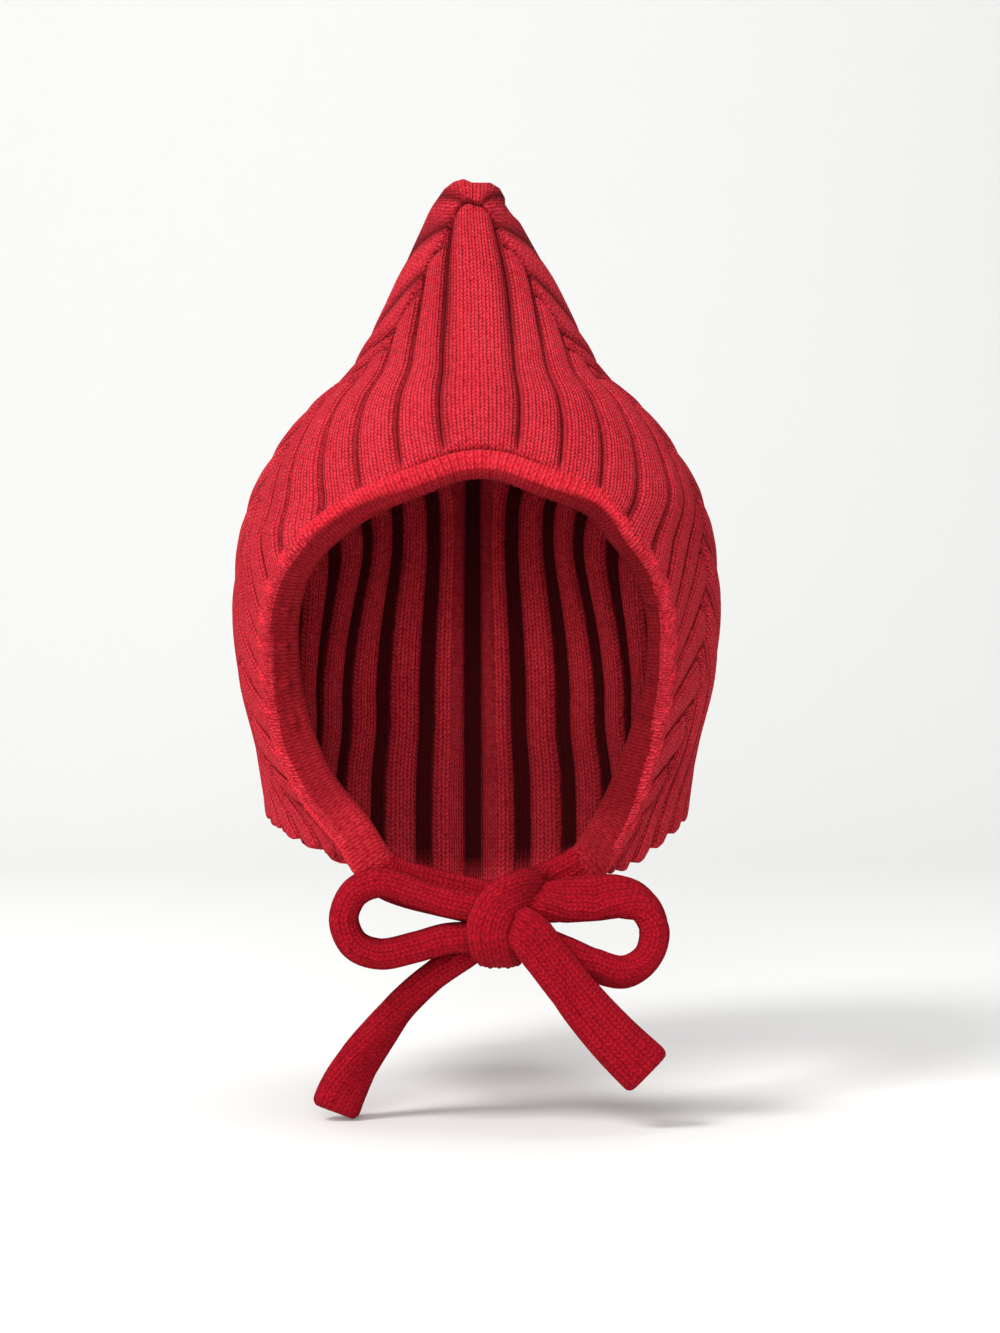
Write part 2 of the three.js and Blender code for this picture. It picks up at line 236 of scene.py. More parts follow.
yarn = {
    "waleWidth": 0.0032,
    "courseHeight": 0.0021,
    "slant": 1.5,
    "fuzzScale": 1500,
    "strandScale": 420,
    "wobbleScale": 210,
    "cloudScale": 20,
    "waleWander": 0.30,
    "courseWander": 0.55,
    "bumpStrength": 0.9,
    "specular": 0.04,
    "sheen": 0.03,
    "sheenRoughness": 0.5,
    "sheenTint": (1.0, 0.30, 0.34, 1),
}


def yarnMaterial(name, light, dark, deep, bump=0.0012, creviceShade=0.50, furrowShade=0.28):
    material = bpy.data.materials.new(name)
    material.use_nodes = True
    material.node_tree.nodes.clear()
    graph = Graph(material.node_tree)
    place = graph.add("ShaderNodeTexCoord", None, None, "Object")
    mapped = graph.add("ShaderNodeUVMap", {"uv_map": "knit"})
    wale = graph.add("ShaderNodeSeparateXYZ", None, {0: mapped})
    course = Wire(graph.tree, wale.socket.node.outputs[1])
    fibre = graph.add("ShaderNodeTexNoise", None, {
        "Vector": place, "Scale": yarn["fuzzScale"], "Detail": 3.0, "Roughness": 0.65})
    wobble = graph.add("ShaderNodeTexNoise", None, {
        "Vector": place, "Scale": yarn["wobbleScale"], "Detail": 2.0})
    strand = graph.add("ShaderNodeTexNoise", None, {
        "Vector": place, "Scale": yarn["strandScale"], "Detail": 1.0})
    cloud = graph.add("ShaderNodeTexNoise", None, {
        "Vector": place, "Scale": yarn["cloudScale"], "Detail": 3.0})
    wale = wale + (wobble - 0.5) * yarn["waleWander"]
    course = course + (wobble - 0.5) * yarn["courseWander"]
    stitch = stitchShape(wale, course, yarn["slant"])
    furrow = waleFurrow(wale)
    height = stitch * 0.8 + fibre * 0.32 + strand * 0.28 - furrow * furrowShade
    # the mesh's shade attribute holds painted shade from gaps, grooves and folds
    depth = graph.add("ShaderNodeAttribute", {"attribute_name": "shade"}, None, "Fac")
    mottle = (fibre - 0.5) * 0.8 + (strand - 0.5) * 0.9 + (cloud - 0.5) * 0.6
    # each stitch is painted lighter on its yarn and darker between the yarns, a painted shade, mixed
    # with tone that varies at random
    tone = (stitch * 0.45 + mottle + 0.25).clamped()
    yarnColour = graph.mixColours(tone, dark, light)
    # painted shade in the crevices between stitches and in the furrows between wales
    stitchShade = ((1 - stitch) * (1 - stitch) * creviceShade).atLeast(furrow * furrowShade)
    shadeShare = (depth + stitchShade - depth * stitchShade).clamped()
    # painted shade blends the yarn towards its deep colour
    colour = graph.mixColours(shadeShare, yarnColour, deep)
    normal = graph.add("ShaderNodeBump", None, {
        "Strength": yarn["bumpStrength"], "Distance": bump, "Height": height})
    rough = (0.95 - fibre * 0.12).clamped()
    shader = graph.add("ShaderNodeBsdfPrincipled", None, {
        "Base Color": colour, "Roughness": rough, "Normal": normal,
        "Specular IOR Level": yarn["specular"], "Sheen Weight": yarn["sheen"],
        "Sheen Roughness": yarn["sheenRoughness"], "Sheen Tint": yarn["sheenTint"]})
    finish = graph.tree.nodes.new("ShaderNodeOutputMaterial")
    connect(graph.tree, finish.inputs[0], shader)
    return material


# each yarn's light and dark colours, mixed by random tone and by painted shade between the yarns, and
# its deep colour, which painted shade in folds and gaps blends towards
ribYarn = yarnMaterial(
    "ribYarn", (0.83, 0.044, 0.067, 1), (0.40, 0.004, 0.014, 1), (0.024, 0.0002, 0.0006, 1))
bandYarn = yarnMaterial(
    "bandYarn", (0.80, 0.036, 0.056, 1), (0.40, 0.003, 0.012, 1), (0.050, 0.0002, 0.001, 1),
    bump=0.0006, creviceShade=0.26, furrowShade=0.14)
tieYarn = yarnMaterial(
    "tieYarn", (0.40, 0.007, 0.018, 1), (0.18, 0.0015, 0.006, 1), (0.030, 0.0004, 0.001, 1),
    bump=0.0006, creviceShade=0.26, furrowShade=0.24)
print("yarn materials made")


def curveThrough(points, samples):
    # a centripetal Catmull-Rom curve, with its place in the list of points beside each sample
    points = np.asarray(points, float)
    ends = np.vstack([2 * points[0] - points[1], points, 2 * points[-1] - points[-2]])
    knots = np.concatenate([[0], np.cumsum(np.linalg.norm(np.diff(ends, axis=0), axis=1) ** 0.5)])
    at = np.linspace(0, len(points) - 1, samples)
    i = np.clip(at.astype(int), 0, len(points) - 2)
    p = [ends[i + k] for k in range(4)]
    k = [knots[i + j][:, None] for j in range(4)]
    t = k[1] + (k[2] - k[1]) * (at - i)[:, None]
    a1 = (k[1] - t) / (k[1] - k[0]) * p[0] + (t - k[0]) / (k[1] - k[0]) * p[1]
    a2 = (k[2] - t) / (k[2] - k[1]) * p[1] + (t - k[1]) / (k[2] - k[1]) * p[2]
    a3 = (k[3] - t) / (k[3] - k[2]) * p[2] + (t - k[2]) / (k[3] - k[2]) * p[3]
    b1 = (k[2] - t) / (k[2] - k[0]) * a1 + (t - k[0]) / (k[2] - k[0]) * a2
    b2 = (k[3] - t) / (k[3] - k[1]) * a2 + (t - k[1]) / (k[3] - k[1]) * a3
    return (k[2] - t) / (k[2] - k[1]) * b1 + (t - k[1]) / (k[2] - k[1]) * b2, at


def smooth(values):
    values = np.clip(values, 0, 1)
    return values * values * (3 - 2 * values)


def unit(vectors):
    return vectors / np.maximum(np.linalg.norm(vectors, axis=-1, keepdims=True), 1e-12)


def stadium(width, thickness, count):
    # an even walk round a flat tube's section, from the middle of its front
    radius = thickness / 2
    straight = width / 2 - radius
    total = 4 * straight + 2 * math.pi * radius
    place = (np.arange(count) / count * total + straight) % total
    out = []
    for s in place:
        if s < 2 * straight:
            out.append((s - straight, radius))
        elif s < 2 * straight + math.pi * radius:
            turn = (s - 2 * straight) / radius
            out.append((straight + radius * math.sin(turn), radius * math.cos(turn)))
        elif s < 4 * straight + math.pi * radius:
            out.append((straight - (s - 2 * straight - math.pi * radius), -radius))
        else:
            turn = (s - 4 * straight - math.pi * radius) / radius
            out.append((-straight - radius * math.sin(turn), -radius * math.cos(turn)))
    return np.array(out)


tie = {
    "width": 0.0175,
    "thickness": 0.0105,
    "wales": 14,
    "samplesPerWale": 4,
    "samplesPerCourse": 5,
    "relief": 0.00046,
    "furrow": 0.00034,
    "reliefFade": 0.002,
    "endRound": 0.0042,
    "endWidth": 0.80,
    "endDepth": 0.22,
    "flareReach": 0.045,
}

# each row is a point of a tie's route and its wide direction: where the tie is free an angle, with 0
# for a flat side up and 90 for one to the front, and inside the knot a direction
leftRoute = [
    (-0.0428, -0.0962, -0.2030, 90), (-0.036, -0.0958, -0.2080, 90), (-0.028, -0.0958, -0.2110, 90),
    (-0.016, -0.0958, -0.2140, 90), (-0.002, -0.0958, -0.2172, 90),
    (0.0065, -0.0978, -0.2186, (0, 0, 1)), (0.0102, -0.1032, -0.2192, (0, 0, 1)),
    (0.0062, -0.1088, -0.2190, (0, 0.5, 0.8)),
    (-0.0016, -0.1105, -0.2182, 0), (-0.0140, -0.1105, -0.2160, 0), (-0.0272, -0.1105, -0.2118, 0),
    (-0.0405, -0.1105, -0.2082, 0), (-0.0503, -0.1105, -0.2124, 0), (-0.0545, -0.1105, -0.2226, 0),
    (-0.0503, -0.1105, -0.2328, 0), (-0.0405, -0.1105, -0.2366, 0), (-0.0265, -0.1105, -0.2340, 0),
    (-0.0140, -0.1105, -0.2306, 0), (-0.0016, -0.1105, -0.2298, 0),
    (0.0072, -0.1150, -0.2272, (0, 0.6, 0.8)),
    (0.0164, -0.1252, -0.226, 90), (0.0238, -0.1256, -0.2345, 90), (0.0324, -0.1252, -0.2457, 90),
    (0.0415, -0.124, -0.2574, 90), (0.0527, -0.1225, -0.2700, 90), (0.0656, -0.1215, -0.2826, 90),
]
rightRoute = [
    (0.0428, -0.0976, -0.2020, 90), (0.0384, -0.0968, -0.2050, 90), (0.033, -0.0958, -0.2080, 90),
    (0.0276, -0.0962, -0.2106, 90), (0.0225, -0.1000, -0.2122, (0, 0, 1)),
    (0.0180, -0.1095, -0.2122, (0, 0, 1)), (0.0120, -0.1185, -0.2132, (-0.3, 0, 1)),
    (0.0055, -0.1232, -0.2178, (-0.8, 0, 0.6)), (0.0026, -0.1243, -0.2255, (-1, 0, 0)),
    (0.0032, -0.1232, -0.2300, (-1, 0, 0)), (0.0054, -0.1180, -0.2352, (-1, 0, 0)),
    (0.0086, -0.1085, -0.2362, (-1, 0, 0)), (0.0118, -0.1018, -0.2322, (-1, 0, 0.2)),
    (0.0140, -0.0998, -0.2255, (-1, 0, 0)), (0.0150, -0.1040, -0.2195, (-0.7, 0.7, 0)),
    (0.021, -0.1105, -0.2172, 10), (0.033, -0.1105, -0.2155, 60), (0.0441, -0.1105, -0.2146, 72),
    (0.0552, -0.1105, -0.2143, 50), (0.0641, -0.1105, -0.2182, 15), (0.0684, -0.1105, -0.2278, 0),
    (0.0655, -0.1105, -0.2382, 8), (0.0566, -0.1105, -0.2440, 24), (0.0441, -0.1105, -0.2412, 24),
    (0.033, -0.1105, -0.2358, 10), (0.021, -0.1105, -0.2306, 0),
    (0.0115, -0.1065, -0.2290, (0.2, 0.9, 0.3)), (0.0060, -0.0980, -0.2300, (0.5, 0.8, 0)),
    (0.0005, -0.0925, -0.2340, (0.2, 1, 0)), (-0.007, -0.0916, -0.239, 0), (-0.0196, -0.0916, -0.248, 6),
    (-0.0316, -0.0918, -0.259, 16), (-0.0413, -0.0922, -0.271, 34), (-0.0498, -0.093, -0.2828, 56),
    (-0.0556, -0.0936, -0.2936, 74), (-0.0588, -0.094, -0.3018, 84),
]


def evenRoute(rows):
    # the route at even steps: its points, the wide directions and its length
    fine, at = curveThrough([row[:3] for row in rows], 4000)
    tangent = unit(np.gradient(fine, axis=0))
    wides = []
    for i, row in enumerate(rows):
        along = tangent[np.argmin(abs(at - i))]
        if isinstance(row[3], tuple):
            wide = np.array(row[3], float)
            wide -= along * wide.dot(along)
        else:
            deep = np.array([0, 1, 0]) - along * along[1]
            deep /= np.linalg.norm(deep)
            turn = math.radians(row[3])
            wide = deep * math.cos(turn) + np.cross(along, deep) * math.sin(turn)
        wide /= np.linalg.norm(wide)
        if wides and wide.dot(wides[-1]) < 0:
            wide = -wide
        wides.append(wide)
    wides = np.array(wides)
    i = np.clip(at.astype(int), 0, len(rows) - 2)
    share = (at - i)[:, None]
    wide = wides[i] * (1 - share) + wides[i + 1] * share
    reach = np.concatenate([[0], np.cumsum(np.linalg.norm(np.diff(fine, axis=0), axis=1))])
    length = reach[-1]
    count = int(round(length / yarn["courseHeight"])) * tie["samplesPerCourse"]
    even = np.linspace(0, length, count + 1)
    points = np.column_stack([np.interp(even, reach, fine[:, k]) for k in range(3)])
    wide = np.column_stack([np.interp(even, reach, wide[:, k]) for k in range(3)])
    tangent = unit(np.gradient(points, axis=0))
    wide = unit(wide - tangent * np.sum(wide * tangent, axis=1, keepdims=True))
    return points, tangent, wide, even, length


def knitReliefTree():
    tree, graph, wires = startTree("knitRelief", {
        "Relief": tie["relief"], "Furrow": tie["furrow"], "Slant": yarn["slant"]})
    wale = graph.read("wale")
    normal = graph.add("GeometryNodeInputNormal")
    lift = (stitchShape(wale, graph.read("course"), wires["Slant"]) - 0.6) * wires["Relief"]
    lift = (lift - waleFurrow(wale) * wires["Furrow"]) * graph.read("keep")
    moved = graph.moveBy(wires["Geometry"], normal, lift)
    endTree(graph, moved, wires["Material"])
    return tree


reliefTree = knitReliefTree()


def makeTie(name, rows, endFlare):
    points, tangent, wide, even, length = evenRoute(rows)
    through = np.cross(tangent, wide)
    count = tie["wales"] * tie["samplesPerWale"]
    section = stadium(tie["width"], tie["thickness"], count)
    fromEnd = np.minimum(even, length - even)
    rounding = np.clip(1 - fromEnd / tie["endRound"], 0, 1)
    squeeze = np.sqrt(np.maximum(1 - rounding ** 2.2, 0.02))
    flare = 1 + (endFlare - 1) * np.clip(1 - (length - even) / tie["flareReach"], 0, 1) ** 0.8
    wideScale = flare * (tie["endWidth"] + (1 - tie["endWidth"]) * squeeze)
    deepScale = tie["endDepth"] + (1 - tie["endDepth"]) * squeeze
    ring = (points[:, None, :]
            + wide[:, None, :] * section[None, :, 0, None] * wideScale[:, None, None]
            + through[:, None, :] * section[None, :, 1, None] * deepScale[:, None, None])
    rings = len(points)
    verts = np.vstack([ring.reshape(-1, 3), points[:1], points[-1:]])
    r = np.arange(rings - 1)[:, None]
    k = np.arange(count)[None, :]
    n = (k + 1) % count
    quads = np.stack([r * count + k, r * count + n, (r + 1) * count + n, (r + 1) * count + k], -1)
    faces = quads.reshape(-1, 4).tolist()
    start = len(verts) - 2
    faces += [[start, (j + 1) % count, j] for j in range(count)]
    last = (rings - 1) * count
    faces += [[start + 1, last + j, last + (j + 1) % count] for j in range(count)]
    piece = meshObject(name, verts, faces, tieYarn)
    waleStep = 1 / tie["samplesPerWale"]
    course = even / yarn["courseHeight"]
    ends = [0, length / yarn["courseHeight"]]
    keep = np.clip(fromEnd / tie["reliefFade"], 0, 1)
    giveAttribute(piece, "wale", np.append(np.tile(np.arange(count) * waleStep, rings), [0, 0]))
    giveAttribute(piece, "course", np.append(np.repeat(course, count), ends))
    giveAttribute(piece, "keep", np.append(np.repeat(keep, count), [0, 0]))
    giveAttribute(piece, "shade", np.zeros(len(verts)))
    u = np.broadcast_to(np.stack([k, k + 1, k + 1, k], -1) * waleStep, quads.shape)
    c = np.stack([course[:-1], course[:-1], course[1:], course[1:]], -1)[:, None, :]
    c = np.broadcast_to(c, quads.shape)
    corners = np.stack([u, c], -1).reshape(-1, 2).tolist()
    for end in ends:
        for j in range(count):
            corners += [(j * waleStep, end)] * 3
    giveMap(piece, corners)
    applyTree(piece, reliefTree, {"Material": tieYarn})
    route = points[:: tie["samplesPerCourse"] * 2].tolist() + [points[-1].tolist()]
    print(name, "length", round(length, 4), "faces", len(piece.data.polygons))
    return piece, route, length, points


leftTie, leftLine, leftLength, leftFine = makeTie("leftTie", leftRoute, 1.24)
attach(leftTie, "root")
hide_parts("tie_strap_left", "bow_loop_left", "bow_tail_right", "bow_knot")
rightTie, rightLine, rightLength, rightFine = makeTie("rightTie", rightRoute, 1.08)
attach(rightTie, "root")
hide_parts("tie_strap_right", "bow_loop_right", "bow_tail_left")
print("ties made")


# the smooth outside of the hood that the ribs follow, in millimetres:
# height, half the width, reach to the front and to the back of the section's centre, the centre
sections = np.array([
    (-232, 87.5, 110.5, 84.3, 0), (-225, 88, 112, 85, 0), (-185, 91.2, 122, 90, 0),
    (-160, 94.8, 131, 96, 0), (-130, 102, 134, 101, 0), (-95, 104.5, 128, 102, 0), (-58, 99, 109, 96, 0),
    (-32, 86, 89, 86, 0), (-13, 70.8, 73, 74, 1), (0, 56.2, 61, 63, 3), (13, 48.3, 50, 53, 5),
    (26, 41.5, 42, 44, 7), (45, 32.5, 32.5, 34, 10), (65, 21.8, 22.2, 23, 13),
    (72, 18.4, 18.6, 19, 13.8), (77.5, 15.6, 15.6, 15.6, 14), (80.5, 13.2, 13.2, 13.2, 14),
    (82.4, 10.2, 10.2, 10.2, 14), (83.5, 6.4, 6.4, 6.4, 14), (84, 0, 0, 0, 14)], float)

# groove, angle and height at the rim, angle and height at the mitre, height at the hem
grooves = np.array([
    (0.5, 9.4, -37.6, 28, 63.5, -226.5), (1.5, 19.8, -45.2, 43, 42, -223.5),
    (2.5, 29.4, -54.5, 52, 17.5, -218), (3.5, 37, -67.1, 61, 3.5, -210.5),
    (4.5, 45.4, -82, 69, -7, -202), (5.5, 49.5, -93.5, 71, -23.5, -197),
    (6.5, 51.8, -106, 72, -46, -193), (7.5, 52.5, -117.5, 71, -68, -191),
    (8.5, 53.1, -129.5, 70, -91, -194), (9.5, 53.4, -143, 69.5, -114, -198),
    (10.5, 52.5, -159, 69, -138, -201), (11.5, 47.4, -176.5, 65, -160, -203.5),
    (12.5, 41.6, -188.5, 51, -182, -205), (13.5, 35.8, -197.5, 37, -201, -205.5)], float)

# how the ribs fan out behind the mitre: height, spread
fans = np.array([
    (-232, 1.44), (-200, 1.45), (-170, 1.44), (-143, 1.27), (-120, 1.085), (-97, 0.90), (-78, 0.77),
    (-62, 0.71), (-50, 0.69), (-12, 0.84), (22, 1), (84, 1)], float)

# how steeply the ribs drop from the mitre: height, power
drops = np.array([(-225, 1), (-60, 1), (-20, 0.86), (10, 0.64), (40, 0.5), (84, 0.5)], float)

# in millimetres, apart from counts, angles, and shares of a rib or of full shade
hood = {
    "ribsPerSide": 13,
    "wall": 7.0,
    "grooveDepth": 4.5,
    "gapDepth": 4.7,
    "gapShare": 0.15,
    "ridgeShoulder": 0.20,
    "creaseDepth": 4.6,
    "creaseFront": 3.0,
    "creaseBack": 8.0,
    "archDrop": 10.5,
    "tipPace": 2.6,
    "rimFade": 13.0,
    "gapFade": 9.0,
    "rimRound": 3.5,
    "hemRound": 3.4,
    "hemLight": 12.0,
    "rimShadeWidth": 2.8,
    "gapShade": 0.94,
    "grooveShade": 0.82,
    "scallop": 2.6,
    "backShoulder": 0.72,
    "frontRows": 38,
    "backRows": 76,
    "crowdAngle": 6.0,
    "walesPerRib": 6,
    "centreWales": 10,
    "rimHeight": -35.2,
    "mitreHeight": 74,
    "hemHeight": -227.5,
}

# how round the front ribs are, as a share of half a rib: height, share
shoulders = np.array([
    (-200, 0.46), (-100, 0.46), (-50, 0.48), (-26, 0.50), (-8, 0.60), (6, 0.62), (84, 0.62)], float)


def readTable(keys, values, at):
    # a smooth curve through a table's rows
    i = np.clip(np.searchsorted(keys, at, side="right") - 1, 0, len(keys) - 2)
    slopes = np.empty(len(keys))
    slopes[1:-1] = (values[2:] - values[:-2]) / (keys[2:] - keys[:-2])
    slopes[0] = (values[1] - values[0]) / (keys[1] - keys[0])
    slopes[-1] = (values[-1] - values[-2]) / (keys[-1] - keys[-2])
    span = keys[i + 1] - keys[i]
    u = np.clip((at - keys[i]) / span, 0, 1)
    return ((2 * u**3 - 3 * u**2 + 1) * values[i] + (u**3 - 2 * u**2 + u) * span * slopes[i]
            + (3 * u**2 - 2 * u**3) * values[i + 1] + (u**3 - u**2) * span * slopes[i + 1])


tipReach = np.concatenate([[0], np.cumsum(np.hypot(
    np.diff(sections[::-1, 1]), np.diff(sections[::-1, 0])))])


def reachAt(height):
    return readTable(sections[:, 0], tipReach[::-1], height)


def heightAt(reach):
    return readTable(tipReach, sections[::-1, 0], reach)


def bodyPoint(angle, height):
    half, front, back, centre = (readTable(sections[:, 0], sections[:, k], height) for k in range(1, 5))
    forward = np.cos(angle)
    depth = np.where(forward > 0, front, back)
    return np.stack([half * np.sin(angle), centre - depth * forward, height + 0 * angle], -1)


def groovePlace(groove, t):
    # a groove's angle and height at t, which is 0 at the rim, 1 at the mitre and 2 at the hem
    rimAngle, rimHeight, mitreAngle, mitreHeight, hemHeight = (
        readTable(grooves[:, 0], grooves[:, k], groove) for k in range(1, 6))
    byHeight = grooves[::-1]
    frontAngle = rimAngle + (mitreAngle - rimAngle) * t
    frontHeight = rimHeight + (mitreHeight - rimHeight) * t
    height = mitreHeight + (hemHeight - mitreHeight) * (t - 1)
    spread = readTable(fans[:, 0], fans[:, 1], height)
    share = np.minimum(1, groove / readTable(byHeight[:, 4], byHeight[:, 0], height))
    share = share ** readTable(drops[:, 0], drops[:, 1], height)
    fromBack = 180 - readTable(byHeight[:, 4], byHeight[:, 3], height)
    backAngle = 180 - fromBack * (share**3 + (share - share**3) * spread)
    crowd = smooth((share - 0.18) / 0.35) * smooth((1 - share) / 0.35) * smooth((-30 - height) / 40)
    backAngle = backAngle + hood["crowdAngle"] * crowd
    return np.radians(np.where(t <= 1, frontAngle, backAngle)), np.where(t <= 1, frontHeight, height)


def flatPlace(line, t):
    # a point's place on a flat map of the outside whose middle is the tip
    line, t = np.broadcast_arrays(np.asarray(line, float), np.asarray(t, float))
    side = np.where(line < 0, -1.0, 1.0)
    away = np.maximum(abs(line), 0.5)
    angle, height = groovePlace(away, t)
    reach = reachAt(height)
    p = side * reach * np.sin(angle)
    q = -reach * np.cos(angle)
    across = np.clip(line / 0.5, -1, 1)
    frontEnd = -reachAt(np.float64(hood["mitreHeight"]))
    rise = hood["rimHeight"] + (hood["mitreHeight"] - hood["rimHeight"]) * np.minimum(t, 1)
    hem = reachAt(np.float64(hood["hemHeight"]))
    middle = np.where(t <= 1, -reachAt(rise), frontEnd + (hem - frontEnd) * (t - 1))
    inner = abs(line) < 0.5
    return (np.where(inner, across * reach * np.sin(angle), p),
            np.where(inner, middle + (q - middle) * across**2, q))


def onShell(p, q):
    return bodyPoint(np.arctan2(p, -q), heightAt(np.hypot(p, q)))


def shellPoint(line, t):
    # the smooth outside and its outward direction, in metres
    p, q = flatPlace(line, t)
    step = 0.5
    across = onShell(p + step, q) - onShell(p - step, q)
    along = onShell(p, q + step) - onShell(p, q - step)
    return onShell(p, q) / 1000, unit(np.cross(across, along))


def ribReliefTree():
    tree, graph, wires = startTree("ribRelief", {
        "Wall": hood["wall"] / 1000,
        "Groove Depth": hood["grooveDepth"] / 1000,
        "Gap Depth": hood["gapDepth"] / 1000,
        "Gap Share": hood["gapShare"],
        "Ridge Shoulder": hood["ridgeShoulder"],
        "Crease Depth": hood["creaseDepth"] / 1000,
        "Crease Front": hood["creaseFront"] / 1000,
        "Crease Back": hood["creaseBack"] / 1000,
        "Rim Fade": hood["rimFade"] / 1000,
        "Gap Fade": hood["gapFade"] / 1000,
        "Rim Round": hood["rimRound"] / 1000,
        "Hem Round": hood["hemRound"] / 1000,
        "Hem Light": hood["hemLight"] / 1000,
        "Rim Shade Width": hood["rimShadeWidth"] / 1000,
        "Gap Shade": hood["gapShade"],
        "Groove Shade": hood["grooveShade"],
    })
    read = graph.read

    def rounded(near):  # 1 at the bottom of a fold, down a quarter round to 0
        rest = 1 - near.clamped()
        return 1 - (1 - rest * rest).atLeast(0).root()

    soft = read("soft")

    def valley(near):  # the same, but wider and rounder where it is soft
        rest = 1 - near.clamped()
        square = rest * rest
        return soft.blend(1 - (1 - square).atLeast(0).root(), square)

    offRib = abs(read("acrossRib"))
    crease = read("fromCrease")
    fromRim = read("fromRim")
    inside = read("inside")
    openness = (fromRim / wires["Rim Fade"]).clamped()
    ease = read("ease") * openness * (2 - openness)
    groove = valley((1 - offRib * 2) / read("shoulder"))
    split = valley((1 - read("offSplit") * 2) / read("shoulder")) * read("splitShare")
    groove = groove.atLeast(split) * wires["Groove Depth"] * ease
    before = rounded(0 - crease / wires["Crease Front"])
    after = valley(crease / wires["Crease Back"])
    fold = (crease > 0).blend(before, after) * wires["Crease Depth"] * read("creaseEase") * ease
    outerDip = groove.atLeast(fold) * read("sink")
    gapEase = (fromRim / wires["Gap Fade"]).clamped()
    gapEase = gapEase * gapEase * read("ease")
    ridge = rounded((offRib - wires["Gap Share"]) / wires["Ridge Shoulder"]) * gapEase
    innerDip = wires["Wall"] - ridge * wires["Gap Depth"]
    middle = (outerDip + innerDip) * 0.5
    atHem = rounded(read("fromHem") / wires["Hem Round"])
    edge = atHem.atLeast(rounded(fromRim / wires["Rim Round"])) * 0.9
    dip = edge.blend(inside.blend(outerDip, innerDip), middle)
    moved = graph.moveBy(wires["Geometry"], read("outwards", "FLOAT_VECTOR"), 0 - dip)
    # the shade is painted shade where a place is hidden from the light: gaps inside, grooves and folds
    # outside, the rim under the band's edge, and the inside towards the nape
    deepest = groove.atLeast(fold) / wires["Groove Depth"]
    rimShade = rounded(fromRim / wires["Rim Shade Width"]) * read("rimShade")
    # the painted shade in the gaps fades out towards the hem
    shadeShare = (read("fromHem") / wires["Hem Light"]).clamped()
    gapShade = inside * ridge * shadeShare * wires["Gap Shade"]
    shade = (gapShade + (1 - inside) * deepest * wires["Groove Shade"]).atLeast(rimShade)
    # dim is painted shade, darker on the inside towards the nape
    dim = read("dim") * shadeShare
    shade = (shade + dim - shade * dim).clamped()
    endTree(graph, graph.keepShade(moved, shade), wires["Material"])
    return tree


# the tip's lobes (place across, width, rise), and how far wear moves what it moves, in metres
worn = {
    "lobes": ((-0.005, 0.0045, 0.0016), (0.0012, 0.002, -0.0010), (0.0095, 0.004, 0.0008)),
    "nubIn": 0.0032,
    "tipLean": 0.0017,
    "openingDrift": 0.0058,
    "leftHemLift": 0.0050,
    "rightFrontDrop": 0.0020,
    "rightSideLift": 0.0044,
}


def wornShape(points):
    # what wear does to the even shape: the tip's soft lobes and lean, an opening that hangs to one
    # side, and a lifted hem
    x, y, z = points[..., 0], points[..., 1], points[..., 2]
    tip = smooth((z - 0.067) / 0.009)
    rise = sum(high * np.exp(-((x - place) / wide) ** 2) for place, wide, high in worn["lobes"])
    nub = -worn["nubIn"] * smooth((x - 0.003) / 0.008) * np.exp(-((z - 0.0728) / 0.0034) ** 2)
    lean = -worn["tipLean"] * smooth((z - 0.030) / 0.045)
    front = smooth((-y - 0.02) / 0.05)
    low = smooth((-0.165 - z) / 0.035) * smooth((0.015 - y) / 0.05)
    lift = (worn["leftHemLift"] * smooth((-x - 0.030) / 0.03)
            - worn["rightFrontDrop"] * smooth((x - 0.030) / 0.03)
            + worn["rightSideLift"] * smooth((x - 0.060) / 0.024)) * low
    faceHeight = smooth((-0.052 - z) / 0.022) * (1 - 0.66 * smooth((-0.145 - z) / 0.055))
    drift = -worn["openingDrift"] * front * faceHeight * (1 - 0.26 * smooth(x / 0.05))
    return points + np.stack([nub + lean + drift, 0 * x, rise * tip + lift], -1)


